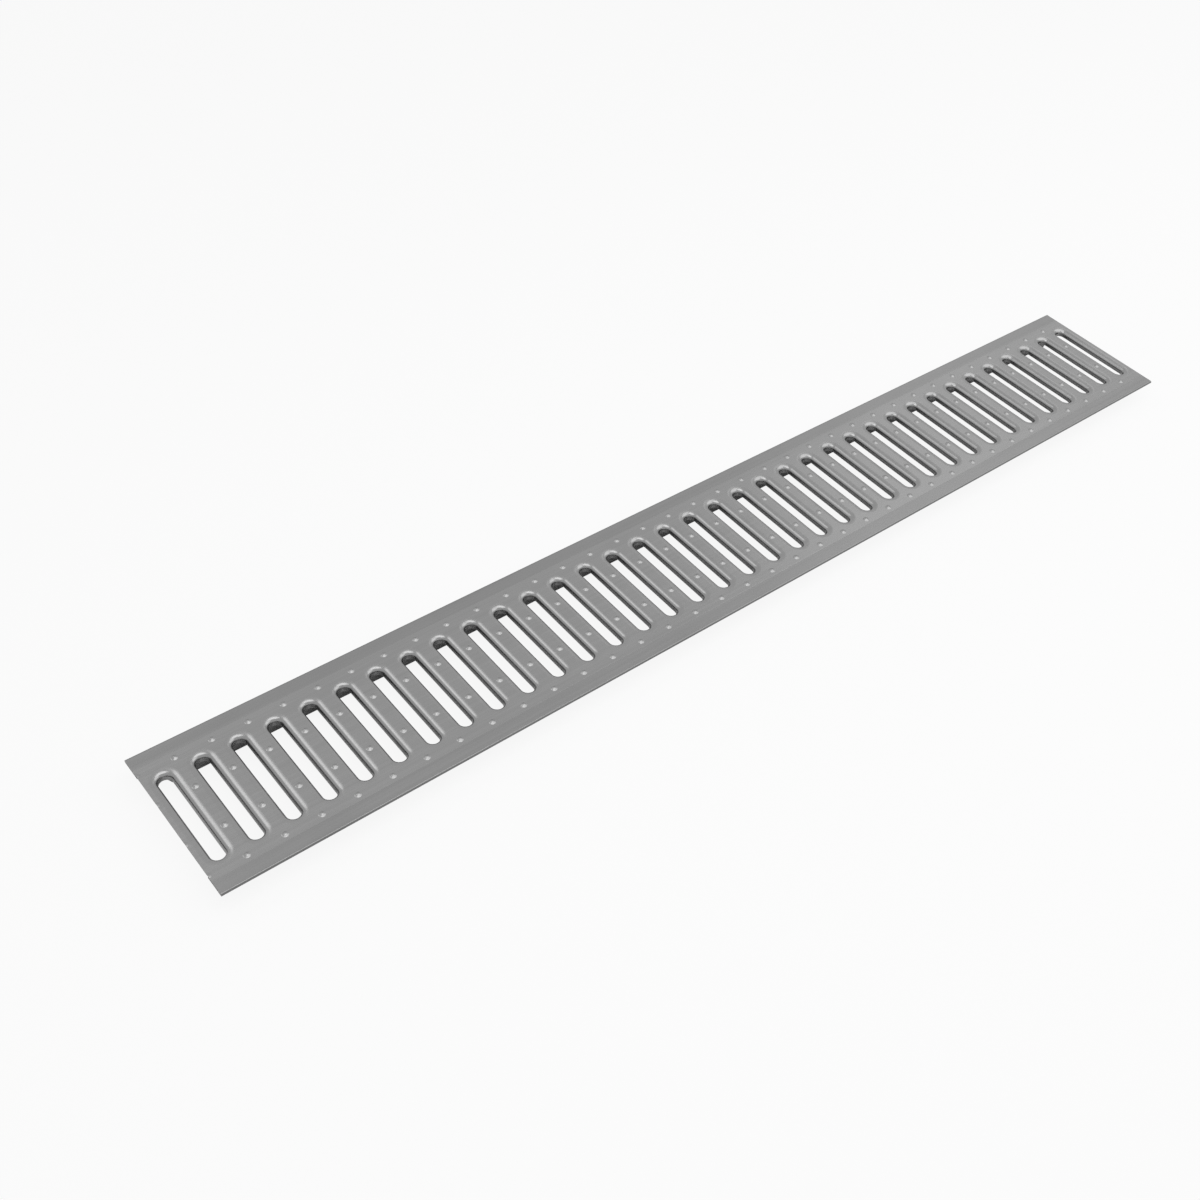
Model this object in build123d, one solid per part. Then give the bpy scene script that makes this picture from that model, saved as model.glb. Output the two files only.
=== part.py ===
from build123d import *
from math import atan, cos, degrees, floor, pi, sin
import os

# Sheet, in mm: X runs along the grate, Y across it, and Z = 0 is at the foot of the legs
LENGTH = 1000.0  # from cut end to cut end
WIDTH = 136.0  # over the two folded long edges
HEIGHT = 20.0  # top face above the foot of the legs
GAUGE = 1.2  # thickness of the galvanised sheet

# Long edges: each is folded back under the top face, then turned down as a leg
HEM_GAP = 0.4  # left open between the two layers of a hem
CHANNEL_WIDTH = 100.0  # inside width of the drain channel that the legs drop into
CHANNEL_CLEARANCE = 1.5  # between each leg and the channel's wall
LEG_BEND = 1.2  # inside radius of the bend from hem to leg
LEG_SETBACK = 11.4  # from the end of the grate to the leg, where it leaves the hem
FOOT_SETBACK = 22.0  # from the end of the grate to the leg, at its foot

# Slots: the sheet is drawn down all round each one, over a rolled shoulder to a short collar
SLOT_WIDTH = 10.2  # clear width inside the collar
SHOULDER_RADIUS = 4.0  # of the rolled edge, on the top face
COLLAR_WALL = 2.5  # upright part of the collar, under the shoulder
COLLAR_TO_LEG = 4.6  # from the outside of the collar to the inside of the leg, at a slot's end
WEB_WIDTH = 9.58  # flat sheet between the shoulders of two slots
END_LAND = 4.0  # least flat sheet between the last shoulder and the end of the grate
END_POLYGON = 16  # sides of the polygon that stands for a slot's round ends, flats on the true arc

# Dimples: four on every web between two slots, pressed up from below for grip
DIMPLE_WIDTH = 5.4
DIMPLE_RISE = 1.1
DIMPLE_SIDES = 6
DIMPLE_ROW = 19.9  # from the centre line of the grate to the dimples beside the slots
DIMPLE_LAND = 2.0  # flat sheet between a slot's end and the line of the dimples past it

# Places that follow from the sizes above
TOP_UNDERSIDE = HEIGHT - GAUGE
LEG_OUTER_FACE = CHANNEL_WIDTH / 2 - CHANNEL_CLEARANCE
RIM_WIDTH = SLOT_WIDTH + 2 * SHOULDER_RADIUS
RIM_END = LEG_OUTER_FACE - GAUGE - COLLAR_TO_LEG - GAUGE + SHOULDER_RADIUS
SLOT_STRAIGHT = 2 * RIM_END - RIM_WIDTH
SLOT_PITCH = RIM_WIDTH + WEB_WIDTH
SLOT_COUNT = floor((LENGTH - 2 * END_LAND - RIM_WIDTH) / SLOT_PITCH) + 1
OUTER_DIMPLE_ROW = RIM_END + DIMPLE_LAND + DIMPLE_WIDTH / 2


def folded_sheet():
    """The sheet with its hems and legs, bent to one section along its whole length."""
    fold = (HEM_GAP + GAUGE) / 2
    bend = LEG_BEND + GAUGE / 2
    upper = HEIGHT - GAUGE / 2
    lower = upper - 2 * fold
    fold_y = WIDTH / 2 - GAUGE / 2 - fold
    leg_y = LEG_OUTER_FACE - GAUGE / 2
    with BuildPart() as sheet:
        with BuildSketch(Plane.YZ):
            with BuildLine():
                Line((0, upper), (fold_y, upper))
                CenterArc((fold_y, upper - fold), fold, 90, -180)
                Line((fold_y, lower), (leg_y + bend, lower))
                CenterArc((leg_y + bend, lower - bend), bend, 90, 90)
                Line((leg_y, lower - bend), (leg_y, 0))
                mirror(about=Plane.YZ)
            trace(line_width=GAUGE)
        extrude(amount=LENGTH / 2, both=True)
    return sheet.part


def leg_end_cut():
    """Wedge that trims both legs back from the right-hand end of the grate, on a slant."""
    past_end = LENGTH / 2 + GAUGE
    foot = LENGTH / 2 - FOOT_SETBACK
    hem_gap_z = TOP_UNDERSIDE - HEM_GAP / 2
    with BuildPart() as cut:
        with BuildSketch(Plane.XZ):
            with BuildLine():
                Polyline(
                    (LENGTH / 2 - LEG_SETBACK, hem_gap_z),
                    (foot, 0),
                    (foot, -GAUGE),
                    (past_end, -GAUGE),
                    (past_end, hem_gap_z),
                    close=True,
                )
            make_face()
        extrude(amount=LEG_OUTER_FACE + LEG_BEND, both=True)
    return cut.part


def rim_outline():
    """Outline of a slot's rim, a hull round the polygons that stand for its two round ends."""
    with BuildSketch() as outline:
        with Locations((0, -SLOT_STRAIGHT / 2), (0, SLOT_STRAIGHT / 2)):
            RegularPolygon(RIM_WIDTH / 2, END_POLYGON, major_radius=False, rotation=180 / END_POLYGON)
        make_hull()
    return outline.sketch


def drafted_block(outline, depth, inset):
    """Block of the given depth under an outline, whose walls lean in by inset on their way down."""
    neutral = Plane.XY.offset(outline.bounding_box().max.Z)
    block = extrude(outline, amount=depth, dir=(0, 0, -1))
    walls = block.faces().filter_by(lambda face: abs(face.normal_at().Z) < 0.5)
    return draft(walls, neutral, -degrees(atan(inset / depth)))


def drawn_slot(radius, flat_z):
    """Block that fills one side of a drawn slot, from the flat of the sheet to the collar's edge.

    The shoulder is a quarter round that starts at flat_z. Two flat bands stand for it, which
    meet halfway round, and the lower one runs on down the collar's wall.
    """
    halfway_inset = radius * sin(pi / 4)
    halfway_depth = radius * (1 - cos(pi / 4))
    shoulder = drafted_block(Pos(0, 0, flat_z) * rim_outline(), halfway_depth, halfway_inset)
    halfway = shoulder.faces().sort_by(Axis.Z)[0]
    depth_left = radius - halfway_depth + COLLAR_WALL
    return shoulder + drafted_block(halfway, depth_left, radius - halfway_inset)


def dimple(flat_z):
    """Pyramid that fills one side of a dimple, above a level face of the sheet."""
    foot = Plane.XY.offset(flat_z) * RegularPolygon(DIMPLE_WIDTH / 2, DIMPLE_SIDES)
    return loft([foot, Vertex(0, 0, flat_z + DIMPLE_RISE)])


def grate():
    """The folded sheet with its slots, and with dimples on every web and on both cut ends."""
    leg_cut = leg_end_cut()
    sheet = folded_sheet() - [leg_cut, mirror(leg_cut, about=Plane.YZ)]

    slots = [Pos((i - (SLOT_COUNT - 1) / 2) * SLOT_PITCH, 0, 0) for i in range(SLOT_COUNT)]
    collar = drawn_slot(SHOULDER_RADIUS - GAUGE, TOP_UNDERSIDE)
    opening = drawn_slot(SHOULDER_RADIUS, HEIGHT)
    sheet += [place * collar for place in slots]
    sheet -= [place * opening for place in slots]

    dimples = [
        Pos((i - SLOT_COUNT / 2) * SLOT_PITCH, y, 0)
        for i in range(SLOT_COUNT + 1)
        for y in (-OUTER_DIMPLE_ROW, -DIMPLE_ROW, DIMPLE_ROW, OUTER_DIMPLE_ROW)
    ]
    bump = dimple(HEIGHT)
    hollow = dimple(TOP_UNDERSIDE)
    between_ends = Pos(0, 0, HEIGHT) * Box(LENGTH, WIDTH, HEIGHT)
    sheet += [place * bump & between_ends for place in dimples]
    sheet -= [place * hollow for place in dimples]
    return sheet


os.makedirs("parts", exist_ok=True)
export_step(grate(), "parts/grate.step")
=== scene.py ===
from math import cos, pi, radians, sin

import bpy
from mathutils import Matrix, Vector


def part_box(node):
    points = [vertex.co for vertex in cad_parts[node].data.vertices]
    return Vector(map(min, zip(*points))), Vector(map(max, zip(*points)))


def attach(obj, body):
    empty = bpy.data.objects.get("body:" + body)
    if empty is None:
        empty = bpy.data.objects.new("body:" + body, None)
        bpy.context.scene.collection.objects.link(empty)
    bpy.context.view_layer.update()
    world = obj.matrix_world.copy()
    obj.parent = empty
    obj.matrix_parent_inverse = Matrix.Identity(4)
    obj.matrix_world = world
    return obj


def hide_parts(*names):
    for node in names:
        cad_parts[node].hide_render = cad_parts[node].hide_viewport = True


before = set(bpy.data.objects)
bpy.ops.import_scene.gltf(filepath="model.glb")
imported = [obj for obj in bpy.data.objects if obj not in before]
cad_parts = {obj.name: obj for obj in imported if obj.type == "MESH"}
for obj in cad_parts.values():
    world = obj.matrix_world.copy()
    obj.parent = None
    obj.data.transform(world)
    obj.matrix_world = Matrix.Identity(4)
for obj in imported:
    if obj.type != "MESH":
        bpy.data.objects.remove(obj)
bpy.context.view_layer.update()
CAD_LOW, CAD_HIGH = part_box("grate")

bl_info = {
    "name": "Channel drain grate",
    "version": (1, 0, 0),
    "blender": (4, 5, 0),
    "location": "View3D > Sidebar > Drain grate",
    "description": "Models a slotted grate of galvanised sheet steel, and a studio for it",
    "category": "Add Mesh",
}

MM = 0.001
NEAR = 1e-5  # two places closer than this are the same place

# Drawn shoulder of a slot: a wide toe where the sheet leaves the flat, then the round down to the collar
TOE_RADIUS = 9.0 * MM
TOE_TURN = radians(20)
SHOULDER_TURNS = [radians(a) for a in (7, 14, 20, 30, 40, 50, 60, 70, 80, 90)]
SUPPORT_RING = 0.15 * MM  # narrow flat beside every curve, which keeps the flats flat in the light
CORNER_SEGMENTS = 10

# Dimple, from its foot to its top: share of its radius, share of its rise
DIMPLE_PROFILE = ((1.0, 0.0), (0.9, 0.07), (0.75, 0.26), (0.53, 0.56), (0.32, 0.84), (0.14, 1.0))
DIMPLE_SEGMENTS = 18
DIMPLE_FOOT = 2.7 * MM

# A bay runs from one side of a web's dimples to the same side of the next web's dimples
BAY_EDGE_TO_WEB_CENTRE = 2.89 * MM
BAY_HALF_LENGTH = 54.6 * MM

# Tooling line along each long edge
LINE_CENTRE = 55.6 * MM
LINE_HALF_WIDTH = 0.35 * MM
LINE_DEPTH = 0.07 * MM

FOLD_STEPS = 12
LEG_BEND_STEPS = 6

SHEARED = 1  # material index of the cut edges

# Strength of the world's even fill on the floor; the metal shows the white background instead
FILL = 0.4
# Share of plain white in the floor; the rest is lit paper, which carries the grate's shadow
WHITE_SHARE = 0.9


def linear(hex_colour):
    """An sRGB hex colour such as "9B9DA0" as linear RGBA."""
    parts = [int(hex_colour[i:i + 2], 16) / 255 for i in (0, 2, 4)]
    return [c / 12.92 if c <= 0.04045 else ((c + 0.055) / 1.055) ** 2.4 for c in parts] + [1.0]


class GrateSizes(bpy.types.PropertyGroup):
    """Sizes of the folded sheet"""

    length: bpy.props.FloatProperty(
        name="Length",
        description="From cut end to cut end",
        default=CAD_HIGH.x - CAD_LOW.x,
        unit="LENGTH",
        subtype="DISTANCE",
    )
    width: bpy.props.FloatProperty(
        name="Width",
        description="Over the two folded long edges",
        default=136 * MM,
        unit="LENGTH",
        subtype="DISTANCE",
    )
    height: bpy.props.FloatProperty(
        name="Height",
        description="Top face above the foot of the legs",
        default=20 * MM,
        unit="LENGTH",
        subtype="DISTANCE",
    )
    gauge: bpy.props.FloatProperty(
        name="Gauge",
        description="Thickness of the sheet",
        default=1.2 * MM,
        unit="LENGTH",
        subtype="DISTANCE",
    )
    slot_pitch: bpy.props.FloatProperty(
        name="Slot pitch",
        description="From the centre of one slot to the next",
        default=27.78 * MM,
        unit="LENGTH",
        subtype="DISTANCE",
    )
    slot_width: bpy.props.FloatProperty(
        name="Slot width",
        description="Clear width inside the collar",
        default=10.2 * MM,
        unit="LENGTH",
        subtype="DISTANCE",
    )
    slot_length: bpy.props.FloatProperty(
        name="Slot length",
        description="Clear length inside the collar",
        default=83.0 * MM,
        unit="LENGTH",
        subtype="DISTANCE",
    )
    shoulder_radius: bpy.props.FloatProperty(
        name="Shoulder radius",
        description="Of the rolled edge round each slot",
        default=4.0 * MM,
        unit="LENGTH",
        subtype="DISTANCE",
    )
    collar_depth: bpy.props.FloatProperty(
        name="Collar depth",
        description="Foot of the collar under the top face",
        default=6.5 * MM,
        unit="LENGTH",
        subtype="DISTANCE",
    )
    dimple_rise: bpy.props.FloatProperty(
        name="Dimple rise",
        description="Top of a dimple above the top face",
        default=1.1 * MM,
        unit="LENGTH",
        subtype="DISTANCE",
    )
    dimple_row: bpy.props.FloatProperty(
        name="Inner dimple row",
        description="From the centre line to the dimples between the slots",
        default=19.9 * MM,
        unit="LENGTH",
        subtype="DISTANCE",
    )
    outer_dimple_row: bpy.props.FloatProperty(
        name="Outer dimple row",
        description="From the centre line to the dimples past the slots",
        default=50.2 * MM,
        unit="LENGTH",
        subtype="DISTANCE",
    )
    hem_gap: bpy.props.FloatProperty(
        name="Hem gap",
        description="Between the two layers of a hem",
        default=0.4 * MM,
        unit="LENGTH",
        subtype="DISTANCE",
    )
    leg_face: bpy.props.FloatProperty(
        name="Leg face",
        description="From the centre line to the outer face of a leg",
        default=48.5 * MM,
        unit="LENGTH",
        subtype="DISTANCE",
    )
    leg_bend: bpy.props.FloatProperty(
        name="Leg bend",
        description="Radius of the bend from hem to leg, on its tight side",
        default=1.2 * MM,
        unit="LENGTH",
        subtype="DISTANCE",
    )
    leg_setback: bpy.props.FloatProperty(
        name="Leg setback",
        description="From the cut end to the leg, where it leaves the hem",
        default=11.4 * MM,
        unit="LENGTH",
        subtype="DISTANCE",
    )
    foot_setback: bpy.props.FloatProperty(
        name="Foot setback",
        description="From the cut end to the leg, at its foot",
        default=22.0 * MM,
        unit="LENGTH",
        subtype="DISTANCE",
    )


class GrateColours(bpy.types.PropertyGroup):
    """Colours of the metal and the floor"""

    zinc: bpy.props.FloatVectorProperty(
        name="Zinc",
        description="Colour of the zinc coat",
        default=linear("8D8D8D"),
        size=4,
        min=0,
        max=1,
        subtype="COLOR",
    )
    sheared_edge: bpy.props.FloatVectorProperty(
        name="Sheared edge",
        description="Colour of the steel where the sheet was cut",
        default=linear("8E8E8E"),
        size=4,
        min=0,
        max=1,
        subtype="COLOR",
    )
    floor: bpy.props.FloatVectorProperty(
        name="Floor",
        description="Colour of the studio floor",
        default=linear("E6E6E6"),
        size=4,
        min=0,
        max=1,
        subtype="COLOR",
    )


# Small helpers for modelling by operators

def rest_selection():
    """Leaves edit mode with nothing selected."""
    if bpy.context.object and bpy.context.object.mode != "OBJECT":
        bpy.ops.object.mode_set(mode="OBJECT")
    bpy.ops.object.select_all(action="DESELECT")


def activate(piece):
    """Makes one object the only one selected."""
    rest_selection()
    piece.select_set(True)
    bpy.context.view_layer.objects.active = piece


def pick(piece, kind, wanted):
    """Selects the elements of one kind that wanted says yes to, and stays in edit mode."""
    bpy.ops.object.mode_set(mode="EDIT")
    bpy.ops.mesh.select_mode(type=kind)
    bpy.ops.mesh.select_all(action="DESELECT")
    bpy.ops.object.mode_set(mode="OBJECT")
    mesh = piece.data
    places = [v.co.copy() for v in mesh.vertices]
    if kind == "FACE":
        chosen = [f for f in mesh.polygons if wanted([places[v] for v in f.vertices])]
        mesh.polygons.foreach_set("select", [False] * len(mesh.polygons))
    else:
        chosen = [e for e in mesh.edges if wanted([places[v] for v in e.vertices])]
        mesh.edges.foreach_set("select", [False] * len(mesh.edges))
    if not chosen:
        raise RuntimeError(f"{piece.name}: nothing was found to select")
    for element in chosen:
        element.select = True
    bpy.ops.object.mode_set(mode="EDIT")


def merge(piece):
    """Joins vertices that lie in the same place."""
    activate(piece)
    bpy.ops.object.mode_set(mode="EDIT")
    bpy.ops.mesh.select_all(action="SELECT")
    bpy.ops.mesh.remove_doubles(threshold=NEAR)
    bpy.ops.object.mode_set(mode="OBJECT")


def join(pieces, name):
    """One mesh of several, at the origin."""
    rest_selection()
    for piece in pieces:
        piece.select_set(True)
    bpy.context.view_layer.objects.active = pieces[0]
    bpy.ops.object.join()
    pieces[0].name = name
    bpy.ops.object.transform_apply(location=True, rotation=True, scale=True)
    merge(pieces[0])
    return pieces[0]


# The sheet, one bay at a time

def slot_mouth(sizes):
    """A slot's rolled shoulder and collar, open at the foot."""
    rest_selection()
    clear = sizes.slot_width / 2
    wider = TOE_RADIUS - sizes.shoulder_radius
    toe = wider * sin(TOE_TURN)
    toe_drop = wider * (1 - cos(TOE_TURN))
    round_width = sizes.shoulder_radius + toe
    outer = clear + round_width + SUPPORT_RING
    half_length = sizes.slot_length / 2 + round_width + SUPPORT_RING
    bpy.ops.mesh.primitive_plane_add(size=1, location=(0, 0, sizes.height))
    mouth = bpy.context.object
    mouth.name = "slot_mouth"
    bpy.ops.object.transform_apply(location=True, rotation=True, scale=True)
    bpy.ops.object.mode_set(mode="EDIT")
    bpy.ops.mesh.select_all(action="SELECT")
    bpy.ops.transform.resize(value=(2 * outer, 2 * half_length, 1), center_override=(0, 0, sizes.height))
    bpy.ops.mesh.bevel(
        offset=outer, segments=CORNER_SEGMENTS, profile=0.5, affect="VERTICES", clamp_overlap=False
    )
    bpy.ops.mesh.select_all(action="SELECT")
    bpy.ops.mesh.remove_doubles(threshold=NEAR)
    bpy.ops.mesh.select_all(action="SELECT")
    bpy.ops.mesh.inset(thickness=SUPPORT_RING, depth=0, use_boundary=True)
    done_in = done_down = 0
    for turn in SHOULDER_TURNS:
        if turn <= TOE_TURN:
            inward = TOE_RADIUS * sin(turn)
            downward = TOE_RADIUS * (1 - cos(turn))
        else:
            inward = toe + sizes.shoulder_radius * sin(turn)
            downward = toe_drop + sizes.shoulder_radius * (1 - cos(turn))
        bpy.ops.mesh.inset(thickness=inward - done_in, depth=done_down - downward, use_boundary=True)
        done_in, done_down = inward, downward
    for _ in range(2):
        bpy.ops.mesh.extrude_region_move(
            TRANSFORM_OT_translate={"value": (0, 0, -(sizes.collar_depth - done_down) / 2)}
        )
    bpy.ops.mesh.delete(type="ONLY_FACE")
    bpy.ops.object.mode_set(mode="OBJECT")
    return mouth


def dimple(sizes, x, y):
    """A pip pressed up from below."""
    rest_selection()
    bpy.ops.mesh.primitive_circle_add(
        vertices=DIMPLE_SEGMENTS,
        radius=DIMPLE_FOOT + SUPPORT_RING,
        fill_type="NGON",
        location=(x, y, sizes.height),
    )
    pip = bpy.context.object
    pip.name = "dimple"
    bpy.ops.object.transform_apply(location=True, rotation=True, scale=True)
    bpy.ops.object.mode_set(mode="EDIT")
    bpy.ops.mesh.select_all(action="SELECT")
    bpy.ops.mesh.inset(thickness=SUPPORT_RING, depth=0, use_boundary=True)
    for (r0, z0), (r1, z1) in zip(DIMPLE_PROFILE, DIMPLE_PROFILE[1:]):
        bpy.ops.mesh.inset(
            thickness=(r0 - r1) * DIMPLE_FOOT, depth=(z1 - z0) * sizes.dimple_rise, use_boundary=True
        )
    bpy.ops.mesh.poke()
    bpy.ops.object.mode_set(mode="OBJECT")
    return pip


def bay(sizes):
    """One slot and the web at its right, with four dimples, filled to a rectangle."""
    web = sizes.slot_pitch / 2
    rows = [-sizes.outer_dimple_row, -sizes.dimple_row, sizes.dimple_row, sizes.outer_dimple_row]
    left = -web + BAY_EDGE_TO_WEB_CENTRE
    parts = [slot_mouth(sizes)] + [dimple(sizes, web, y) for y in rows]
    rest_selection()
    bpy.ops.mesh.primitive_plane_add(size=1, location=(left + web, 0, sizes.height))
    outline = bpy.context.object
    bpy.ops.object.transform_apply(location=True, rotation=True, scale=True)
    bpy.ops.object.mode_set(mode="EDIT")
    bpy.ops.mesh.select_all(action="SELECT")
    bpy.ops.transform.resize(
        value=(sizes.slot_pitch, 2 * BAY_HALF_LENGTH, 1), center_override=(left + web, 0, sizes.height)
    )
    bpy.ops.mesh.delete(type="ONLY_FACE")
    bpy.ops.object.mode_set(mode="OBJECT")
    whole = join(parts + [outline], "bay")
    uses = {}
    for face in whole.data.polygons:
        for key in face.edge_keys:
            uses[key] = uses.get(key, 0) + 1
    flat = sizes.height
    places = whole.data.vertices
    rims = {
        tuple(sorted(edge.vertices))
        for edge in whole.data.edges
        if uses.get(tuple(sorted(edge.vertices)), 0) < 2
        and all(abs(places[v].co.z - flat) < NEAR for v in edge.vertices)
    }
    bpy.ops.object.mode_set(mode="EDIT")
    bpy.ops.mesh.select_mode(type="EDGE")
    bpy.ops.mesh.select_all(action="DESELECT")
    bpy.ops.object.mode_set(mode="OBJECT")
    for edge in whole.data.edges:
        edge.select = tuple(sorted(edge.vertices)) in rims
    bpy.ops.object.mode_set(mode="EDIT")
    bpy.ops.mesh.fill(use_beauty=True)
    bpy.ops.mesh.select_all(action="SELECT")
    bpy.ops.mesh.normals_make_consistent(inside=False)
    bpy.ops.object.mode_set(mode="OBJECT")
    return whole


def repeat_bays(strip, sizes):
    """Copies the bay along the grate, one more than there are slots, so that both ends run over."""
    slots = round(sizes.length / sizes.slot_pitch)
    activate(strip)
    row = strip.modifiers.new("Row", "ARRAY")
    row.count = slots + 1
    row.use_relative_offset = False
    row.use_constant_offset = True
    row.constant_offset_displace = (sizes.slot_pitch, 0, 0)
    bpy.ops.object.modifier_apply(modifier=row.name)
    bpy.ops.object.mode_set(mode="EDIT")
    bpy.ops.mesh.select_all(action="SELECT")
    bpy.ops.transform.translate(value=(-(slots + 1) / 2 * sizes.slot_pitch, 0, 0))
    bpy.ops.mesh.remove_doubles(threshold=NEAR)
    bpy.ops.object.mode_set(mode="OBJECT")


def press_end_dimples(strip, sizes):
    """Lowers the dimples at the two cuts: to half height at the left end, flat at the right."""
    half = sizes.length / 2
    for side, left_standing in ((-1, 0.5), (1, 0.0)):
        pick(
            strip,
            "EDGE",
            lambda ends: all(side * p.x > half - 1.2 * DIMPLE_FOOT for p in ends)
            and any(p.z > sizes.height + NEAR for p in ends),
        )
        bpy.ops.transform.resize(value=(1, 1, left_standing), center_override=(0, 0, sizes.height))
        bpy.ops.object.mode_set(mode="OBJECT")


def pull(move):
    """Extrudes the selected edges by a move, and keeps the new ones selected."""
    bpy.ops.mesh.extrude_edges_move(TRANSFORM_OT_translate={"value": move})


def fold_long_edge(strip, sizes, side):
    """Tooling line, hem and leg of one long edge."""
    flat = sizes.height
    fold = sizes.gauge + sizes.hem_gap / 2
    fold_y = sizes.width / 2 - fold
    leg_y = sizes.leg_face + sizes.leg_bend
    pick(strip, "EDGE", lambda ends: all(abs(p.y - side * BAY_HALF_LENGTH) < NEAR for p in ends))
    run = LINE_CENTRE - LINE_HALF_WIDTH - BAY_HALF_LENGTH
    pull((0, side * (run - SUPPORT_RING), 0))
    pull((0, side * SUPPORT_RING, 0))
    pull((0, side * LINE_HALF_WIDTH, -LINE_DEPTH))
    pull((0, side * LINE_HALF_WIDTH, LINE_DEPTH))
    pull((0, side * SUPPORT_RING, 0))
    pull((0, side * (fold_y - LINE_CENTRE - LINE_HALF_WIDTH - 2 * SUPPORT_RING), 0))
    pull((0, side * SUPPORT_RING, 0))
    bpy.ops.mesh.spin(
        steps=FOLD_STEPS, angle=pi, center=(0, side * fold_y, flat - fold), axis=(side, 0, 0)
    )
    pull((0, side * -SUPPORT_RING, 0))
    pull((0, side * (leg_y - fold_y + 2 * SUPPORT_RING), 0))
    pull((0, side * -SUPPORT_RING, 0))
    bend_z = flat - 2 * fold - sizes.leg_bend
    bpy.ops.mesh.spin(
        steps=LEG_BEND_STEPS, angle=pi / 2, center=(0, side * leg_y, bend_z), axis=(-side, 0, 0)
    )
    pull((0, 0, -SUPPORT_RING))
    pull((0, 0, SUPPORT_RING - bend_z))
    bpy.ops.object.mode_set(mode="OBJECT")


def trim_legs(strip, sizes):
    """Cuts both ends of both legs back on a slant."""
    half = sizes.length / 2
    gap_z = sizes.height - sizes.gauge - sizes.hem_gap / 2
    inner_y = sizes.leg_face + sizes.leg_bend
    hem_z = sizes.height - 2 * sizes.gauge - sizes.hem_gap

    def on_leg(corners):
        return all(abs(p.y) < inner_y + NEAR and p.z < hem_z + NEAR for p in corners) and any(
            p.z < hem_z - NEAR for p in corners
        )

    for side in (-1, 1):
        for y_side in (-1, 1):
            pick(
                strip,
                "FACE",
                lambda corners: on_leg(corners)
                and corners[0].y * y_side > sizes.leg_face - NEAR
                and max(side * p.x for p in corners) > half - sizes.slot_pitch,
            )
            slope = Vector((side * gap_z, 0, -(sizes.foot_setback - sizes.leg_setback)))
            bpy.ops.mesh.bisect(
                plane_co=(side * (half - sizes.foot_setback), 0, 0),
                plane_no=slope.normalized(),
                clear_outer=True,
                threshold=NEAR,
            )
            bpy.ops.object.mode_set(mode="OBJECT")


def thicken(strip, sizes):
    """Gives the skin the gauge of the sheet, inwards, with the sheared edges as their own material."""
    activate(strip)
    bpy.ops.object.mode_set(mode="EDIT")
    bpy.ops.mesh.select_all(action="SELECT")
    bpy.ops.mesh.normals_make_consistent(inside=False)
    bpy.ops.object.mode_set(mode="OBJECT")
    tops = [f for f in strip.data.polygons if abs(f.center.z - sizes.height) < NEAR]
    if sum(f.normal.z * f.area for f in tops) < 0:
        bpy.ops.object.mode_set(mode="EDIT")
        bpy.ops.mesh.select_all(action="SELECT")
        bpy.ops.mesh.flip_normals()
        bpy.ops.object.mode_set(mode="OBJECT")
    wall = strip.modifiers.new("Gauge", "SOLIDIFY")
    wall.thickness = sizes.gauge
    wall.offset = -1
    wall.use_even_offset = True
    wall.use_rim = True
    wall.material_offset_rim = SHEARED
    bpy.ops.object.modifier_apply(modifier=wall.name)


def shear_ends(strip, sizes):
    """Cuts the grate to length, through the last dimples, and closes the cut."""
    half = sizes.length / 2
    for side in (-1, 1):
        bpy.ops.object.mode_set(mode="EDIT")
        bpy.ops.mesh.select_all(action="SELECT")
        bpy.ops.mesh.bisect(
            plane_co=(side * half, 0, 0),
            plane_no=(side, 0, 0),
            clear_outer=True,
            use_fill=True,
            threshold=NEAR,
        )
        bpy.ops.object.mode_set(mode="OBJECT")
        for face in strip.data.polygons:
            if side * face.center.x > half - NEAR:
                face.material_index = SHEARED
    bpy.ops.object.shade_smooth_by_angle(angle=radians(40), keep_sharp_edges=False)


# Materials

def add_node(tree, kind, settings=None, links=None):
    """Adds a node, sets its properties or its sockets' values, and links its inputs."""
    node = tree.nodes.new(kind)
    for name, value in (settings or {}).items():
        if isinstance(name, str) and hasattr(node, name):
            setattr(node, name, value)
        else:
            node.inputs[name].default_value = value
    for name, source in (links or {}).items():
        tree.links.new(source, node.inputs[name])
    return node


def new_material(name):
    """An empty node material and its tree."""
    material = bpy.data.materials.new(name)
    material.use_nodes = True
    material.node_tree.nodes.clear()
    return material, material.node_tree


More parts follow.
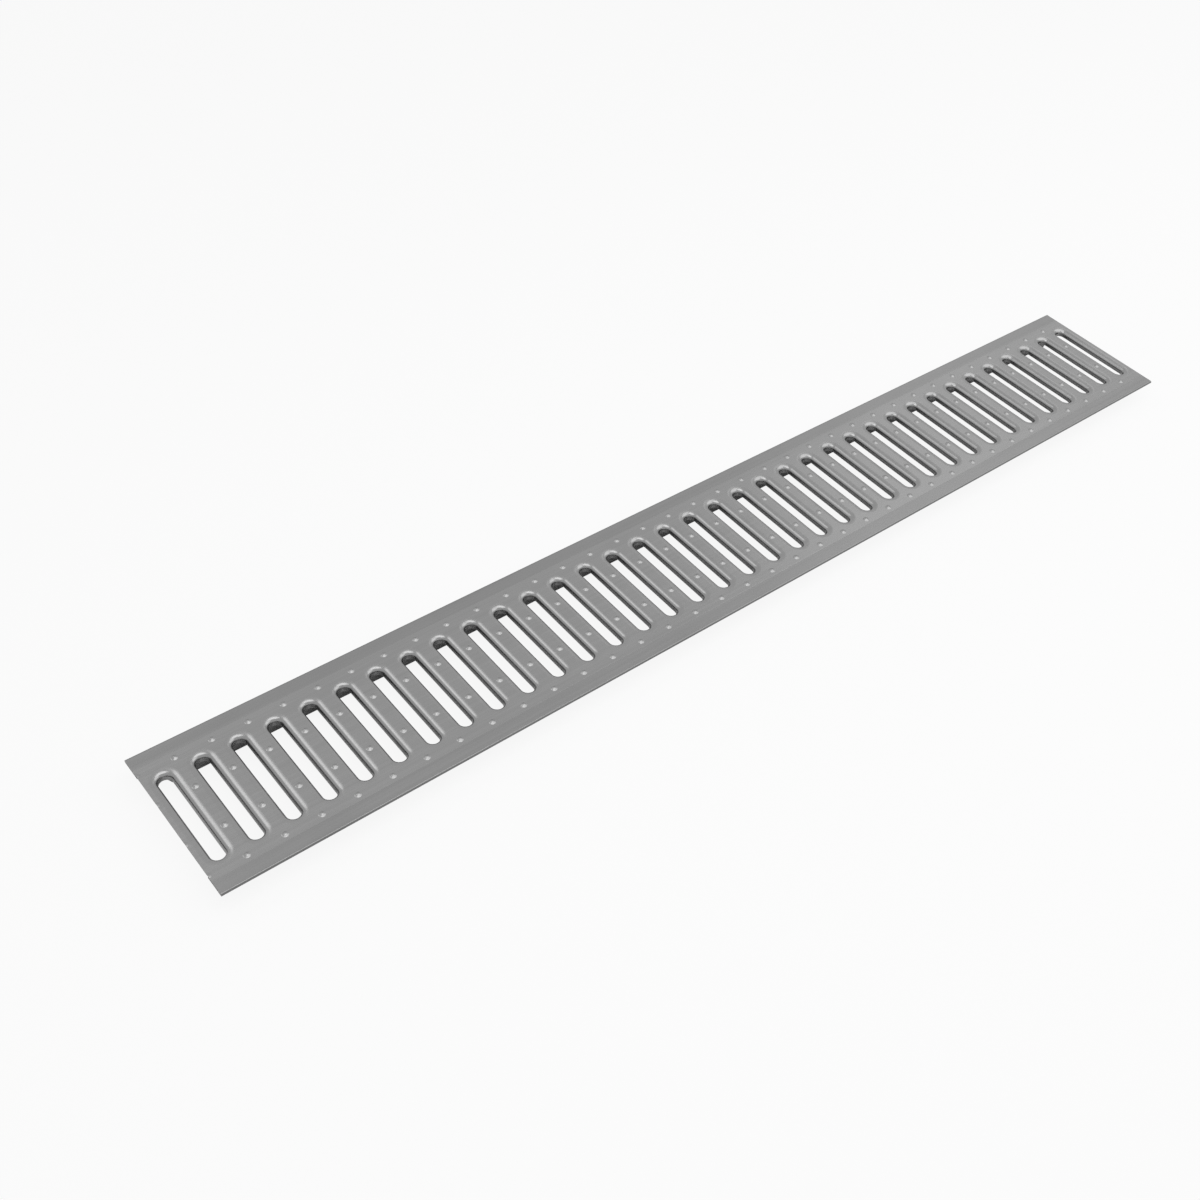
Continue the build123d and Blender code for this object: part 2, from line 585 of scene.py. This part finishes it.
def galvanised_steel(colours):
    """Satin zinc coat of continuously galvanised sheet, skin passed, with no spangle.

    It gives the eye a soft grey sheen, a fine speckle where the light breaks, faint streaks along
    the rolling direction, and burnished shoulders where the sheet slid over the die.
    """
    material, tree = new_material("galvanised_steel")
    place = add_node(tree, "ShaderNodeTexCoord").outputs["Object"]
    # Speckle, drawn 0.9 mm across because the coat's own grain is too fine to show
    grain = add_node(
        tree,
        "ShaderNodeTexNoise",
        {"Scale": 1 / (0.9 * MM), "Detail": 2.0, "Roughness": 0.6},
        {"Vector": place},
    )
    # Faint lines along the grate, from rolling
    stretched = add_node(
        tree, "ShaderNodeMapping", {"Scale": (0.012, 1.0, 1.0)}, {"Vector": place}
    )
    streaks = add_node(
        tree,
        "ShaderNodeTexNoise",
        {"Scale": 1 / (2.6 * MM), "Detail": 3.0, "Roughness": 0.6},
        {"Vector": stretched.outputs["Vector"]},
    )
    # Wide, barely visible patches in the coat's tone
    clouds = add_node(
        tree, "ShaderNodeTexNoise", {"Scale": 1 / (38 * MM), "Detail": 2.0}, {"Vector": place}
    )
    axes = add_node(tree, "ShaderNodeSeparateXYZ", links={"Vector": place})
    from_middle = add_node(tree, "ShaderNodeMath", {"operation": "ABSOLUTE"}, {0: axes.outputs["Y"]})
    strip = add_node(
        tree,
        "ShaderNodeMapRange",
        {
            "interpolation_type": "SMOOTHSTEP",
            "From Min": LINE_CENTRE - 0.1 * MM,
            "From Max": LINE_CENTRE + 0.3 * MM,
        },
        {"Value": from_middle.outputs[0]},
    )
    # Smoother from the shoulder down, where the sheet slid over the die
    burnish = add_node(
        tree,
        "ShaderNodeMapRange",
        {"From Min": 19.95 * MM, "From Max": 19.2 * MM, "To Min": 0.0, "To Max": 1.0},
        {"Value": axes.outputs["Z"]},
    )
    rough_grain = add_node(
        tree,
        "ShaderNodeMapRange",
        {"From Min": 0.3, "From Max": 0.7, "To Min": -0.035, "To Max": 0.035},
        {"Value": grain.outputs["Fac"]},
    )
    rough_streaks = add_node(
        tree,
        "ShaderNodeMapRange",
        {"From Min": 0.3, "From Max": 0.7, "To Min": -0.02, "To Max": 0.03},
        {"Value": streaks.outputs["Fac"]},
    )
    rough = add_node(
        tree,
        "ShaderNodeMath",
        {"operation": "MULTIPLY_ADD", 1: 0.03, 2: 0.27},
        {0: strip.outputs["Result"]},
    )
    for more in (rough_grain, rough_streaks):
        rough = add_node(
            tree, "ShaderNodeMath", {"operation": "ADD"}, {0: rough.outputs[0], 1: more.outputs["Result"]}
        )
    rough = add_node(
        tree,
        "ShaderNodeMath",
        {"operation": "MULTIPLY_ADD", 1: -0.05},
        {0: burnish.outputs["Result"], 2: rough.outputs[0]},
    )
    # Softer glint on the dimples, a given tone
    matted = add_node(
        tree,
        "ShaderNodeMapRange",
        {"From Min": 20.02 * MM, "From Max": 20.4 * MM, "To Min": 0.0, "To Max": 0.04},
        {"Value": axes.outputs["Z"]},
    )
    rough = add_node(
        tree, "ShaderNodeMath", {"operation": "ADD"}, {0: rough.outputs[0], 1: matted.outputs["Result"]}
    )
    tone_mix = add_node(
        tree,
        "ShaderNodeMath",
        {"operation": "MULTIPLY_ADD", 1: 0.5},
        {0: clouds.outputs["Fac"], 2: streaks.outputs["Fac"]},
    )
    tone = add_node(
        tree,
        "ShaderNodeMapRange",
        {"From Min": 0.45, "From Max": 1.05, "To Min": 0.95, "To Max": 1.05},
        {"Value": tone_mix.outputs[0]},
    )
    # Painted shade: a darker line along the outside of the folds
    fold_nose_painted_shade = add_node(
        tree,
        "ShaderNodeMapRange",
        {
            "interpolation_type": "SMOOTHSTEP",
            "From Min": 66.0 * MM,
            "From Max": 67.3 * MM,
            "To Min": 1.0,
            "To Max": 0.7,
        },
        {"Value": from_middle.outputs[0]},
    )
    tone = add_node(
        tree,
        "ShaderNodeMath",
        {"operation": "MULTIPLY"},
        {0: tone.outputs["Result"], 1: fold_nose_painted_shade.outputs["Result"]},
    )
    # Slightly darker strip outside the tooling line, a given tone
    strip_tone = add_node(
        tree, "ShaderNodeMath", {"operation": "MULTIPLY_ADD", 1: -0.1, 2: 1.0}, {0: strip.outputs["Result"]}
    )
    tone = add_node(
        tree,
        "ShaderNodeMath",
        {"operation": "MULTIPLY"},
        {0: tone.outputs[0], 1: strip_tone.outputs[0]},
    )
    # Zinc colour with its random tone, the darker strip and the painted shade on the fold noses
    colour = add_node(
        tree,
        "ShaderNodeVectorMath",
        {"operation": "SCALE", 0: colours.zinc[:3]},
        {"Scale": tone.outputs[0]},
    )
    bump = add_node(
        tree,
        "ShaderNodeBump",
        {"Strength": 0.2, "Distance": 0.02 * MM},
        {"Height": grain.outputs["Fac"]},
    )
    shader = add_node(
        tree,
        "ShaderNodeBsdfPrincipled",
        {"Metallic": 1.0},
        {
            "Base Color": colour.outputs["Vector"],
            "Roughness": rough.outputs[0],
            "Normal": bump.outputs["Normal"],
        },
    )
    add_node(tree, "ShaderNodeOutputMaterial", links={"Surface": shader.outputs["BSDF"]})
    return material


def sheared_steel(colours):
    """Bare edge of the sheet where the shear and the punch cut it: duller, with fine tearing."""
    material, tree = new_material("sheared_steel_edge")
    place = add_node(tree, "ShaderNodeTexCoord").outputs["Object"]
    tearing = add_node(
        tree,
        "ShaderNodeTexNoise",
        {"Scale": 1 / (0.5 * MM), "Detail": 2.0},
        {"Vector": place},
    )
    tone = add_node(
        tree,
        "ShaderNodeMapRange",
        {"From Min": 0.3, "From Max": 0.7, "To Min": 0.85, "To Max": 1.1},
        {"Value": tearing.outputs["Fac"]},
    )
    colour = add_node(
        tree,
        "ShaderNodeVectorMath",
        {"operation": "SCALE", 0: colours.sheared_edge[:3]},
        {"Scale": tone.outputs["Result"]},
    )
    bump = add_node(
        tree, "ShaderNodeBump", {"Strength": 0.5, "Distance": 0.05 * MM}, {"Height": tearing.outputs["Fac"]}
    )
    shader = add_node(
        tree,
        "ShaderNodeBsdfPrincipled",
        {"Metallic": 1.0, "Roughness": 0.42},
        {"Base Color": colour.outputs["Vector"], "Normal": bump.outputs["Normal"]},
    )
    add_node(tree, "ShaderNodeOutputMaterial", links={"Surface": shader.outputs["BSDF"]})
    return material


class GRATE_OT_sheet(bpy.types.Operator):
    """Draws the slots and dimples, folds the hems and legs, and gives the sheet its gauge"""

    bl_idname = "grate.sheet"
    bl_label = "Grate sheet"

    def execute(self, context):
        sizes = context.scene.grate_sizes
        colours = context.scene.grate_colours
        strip = bay(sizes)
        strip.name = "galvanised_grate"
        strip.data.name = "galvanised_grate"
        strip.data.materials.append(galvanised_steel(colours))
        strip.data.materials.append(sheared_steel(colours))
        repeat_bays(strip, sizes)
        press_end_dimples(strip, sizes)
        for side in (-1, 1):
            fold_long_edge(strip, sizes, side)
        trim_legs(strip, sizes)
        thicken(strip, sizes)
        shear_ends(strip, sizes)
        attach(strip, "root")
        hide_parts("grate")
        return {"FINISHED"}


# Studio

def floor_material(colours):
    """Pale paper, white to the camera and in metal and glass, with the grate's shadow under it.

    What the metal mirrors fades where the grate covers the paper, a painted shade from ambient occlusion, so
    the slots' walls stay shaded.
    """
    material, tree = new_material("studio_paper")
    paths = add_node(tree, "ShaderNodeLightPath")
    paper = add_node(tree, "ShaderNodeBsdfDiffuse", {"Color": colours.floor})
    white = add_node(tree, "ShaderNodeEmission", {"Strength": 1.0})
    occlusion_painted_shade = add_node(tree, "ShaderNodeAmbientOcclusion", {"Distance": 0.15, "samples": 8})
    in_metal = add_node(
        tree,
        "ShaderNodeMath",
        {"operation": "MAXIMUM"},
        {0: paths.outputs["Is Glossy Ray"], 1: paths.outputs["Is Transmission Ray"]},
    )
    # Painted shade: ambient occlusion dims the white that metal and glass see under the grate
    in_metal = add_node(
        tree, "ShaderNodeMath", {"operation": "MULTIPLY"}, {0: in_metal.outputs[0], 1: occlusion_painted_shade.outputs["AO"]}
    )
    lift = add_node(
        tree,
        "ShaderNodeMath",
        {"operation": "MAXIMUM"},
        {0: paths.outputs["Is Camera Ray"], 1: in_metal.outputs[0]},
    )
    share = add_node(tree, "ShaderNodeMath", {"operation": "MULTIPLY", 1: WHITE_SHARE}, {0: lift.outputs[0]})
    mixed = add_node(
        tree,
        "ShaderNodeMixShader",
        links={0: share.outputs[0], 1: paper.outputs["BSDF"], 2: white.outputs["Emission"]},
    )
    add_node(tree, "ShaderNodeOutputMaterial", links={"Surface": mixed.outputs["Shader"]})
    return material


def studio_world():
    """White to the camera and in metal and glass, and an even soft fill for all else."""
    world = bpy.data.worlds.new("studio_white")
    world.use_nodes = True
    tree = world.node_tree
    tree.nodes.clear()
    paths = add_node(tree, "ShaderNodeLightPath")
    mirrored = add_node(
        tree,
        "ShaderNodeMath",
        {"operation": "MAXIMUM"},
        {0: paths.outputs["Is Glossy Ray"], 1: paths.outputs["Is Transmission Ray"]},
    )
    shown = add_node(
        tree,
        "ShaderNodeMath",
        {"operation": "MAXIMUM"},
        {0: paths.outputs["Is Camera Ray"], 1: mirrored.outputs[0]},
    )
    fill = add_node(tree, "ShaderNodeBackground", {"Color": (1, 1, 1, 1), "Strength": FILL})
    white = add_node(tree, "ShaderNodeBackground", {"Color": (1, 1, 1, 1), "Strength": 1.0})
    mixed = add_node(
        tree,
        "ShaderNodeMixShader",
        links={0: shown.outputs[0], 1: fill.outputs[0], 2: white.outputs[0]},
    )
    add_node(tree, "ShaderNodeOutputWorld", links={"Surface": mixed.outputs["Shader"]})
    bpy.context.scene.world = world


def softbox(name, place, target, width, height, watts):
    """A rectangular area lamp at a place, aimed at a target."""
    rest_selection()
    bpy.ops.object.light_add(type="AREA", location=place)
    lamp = bpy.context.object
    lamp.name = name
    lamp.data.shape = "RECTANGLE"
    lamp.data.size = width
    lamp.data.size_y = height
    lamp.data.energy = watts
    towards = Vector(target) - Vector(place)
    lamp.rotation_euler = towards.to_track_quat("-Z", "Y").to_euler()
    return lamp


class GRATE_OT_stage(bpy.types.Operator):
    """Sets up the floor, the soft light and the camera"""

    bl_idname = "grate.stage"
    bl_label = "Studio stage"

    def execute(self, context):
        scene = context.scene
        rest_selection()
        bpy.ops.mesh.primitive_plane_add(size=12, location=(0, 0, -0.0002))
        floor = bpy.context.object
        floor.name = "studio_floor"
        floor.data.materials.append(floor_material(scene.grate_colours))
        studio_world()
        # Placed and set against the tones in the photograph
        softbox("overhead_softbox", (-0.315, -0.22, 1.0), (-0.315, -0.22, 0), 1.03, 0.66, 3.6)
        softbox("right_softbox", (1.15, -0.5, 1.0), (1.15, -0.5, 0), 1.7, 1.5, 9.5)
        softbox("left_softbox", (-0.83, 0.75, 1.0), (-0.83, 0.75, 0), 0.68, 0.42, 0.6)
        softbox("far_softbox", (-1.3, 2.8, 4.0), (-0.2, 0, 0), 2.2, 1.4, 9.5)
        softbox("far_right_softbox", (4.3, 2.65, 4.2), (0.15, -0.06, 0), 1.2, 1.6, 3.6)
        rest_selection()
        # Fitted to the rows of dimples in the photograph, with its frame shifted to match
        bpy.ops.object.camera_add(
            location=(-0.69539, -0.63153, 0.86448),
            rotation=[radians(a) for a in (46.65807, -5.94665, -40.77894)],
        )
        camera = bpy.context.object
        camera.name = "studio_camera"
        camera.data.sensor_width = 36
        camera.data.lens = 36 * 1507.5 / 1200
        camera.data.shift_x = (600 - 700.5) / 1200
        camera.data.shift_y = (560.5 - 600) / 1200
        camera.data.clip_start = 0.01
        scene.camera = camera
        scene.view_settings.view_transform = "Standard"
        return {"FINISHED"}


class GRATE_PT_panel(bpy.types.Panel):
    """Builds the grate and its studio"""

    bl_idname = "GRATE_PT_panel"
    bl_label = "Drain grate"
    bl_space_type = "VIEW_3D"
    bl_region_type = "UI"
    bl_category = "Drain grate"

    def draw(self, context):
        for name in GrateSizes.__annotations__:
            self.layout.prop(context.scene.grate_sizes, name)
        for name in GrateColours.__annotations__:
            self.layout.prop(context.scene.grate_colours, name)
        self.layout.operator(GRATE_OT_sheet.bl_idname)
        self.layout.operator(GRATE_OT_stage.bl_idname)


CLASSES = (GrateSizes, GrateColours, GRATE_OT_sheet, GRATE_OT_stage, GRATE_PT_panel)


def register():
    for cls in CLASSES:
        bpy.utils.register_class(cls)
    bpy.types.Scene.grate_sizes = bpy.props.PointerProperty(type=GrateSizes)
    bpy.types.Scene.grate_colours = bpy.props.PointerProperty(type=GrateColours)


def unregister():
    del bpy.types.Scene.grate_colours
    del bpy.types.Scene.grate_sizes
    for cls in reversed(CLASSES):
        bpy.utils.unregister_class(cls)


def main():
    register()
    bpy.ops.grate.sheet()
    bpy.ops.grate.stage()


if __name__ == "__main__":
    main()
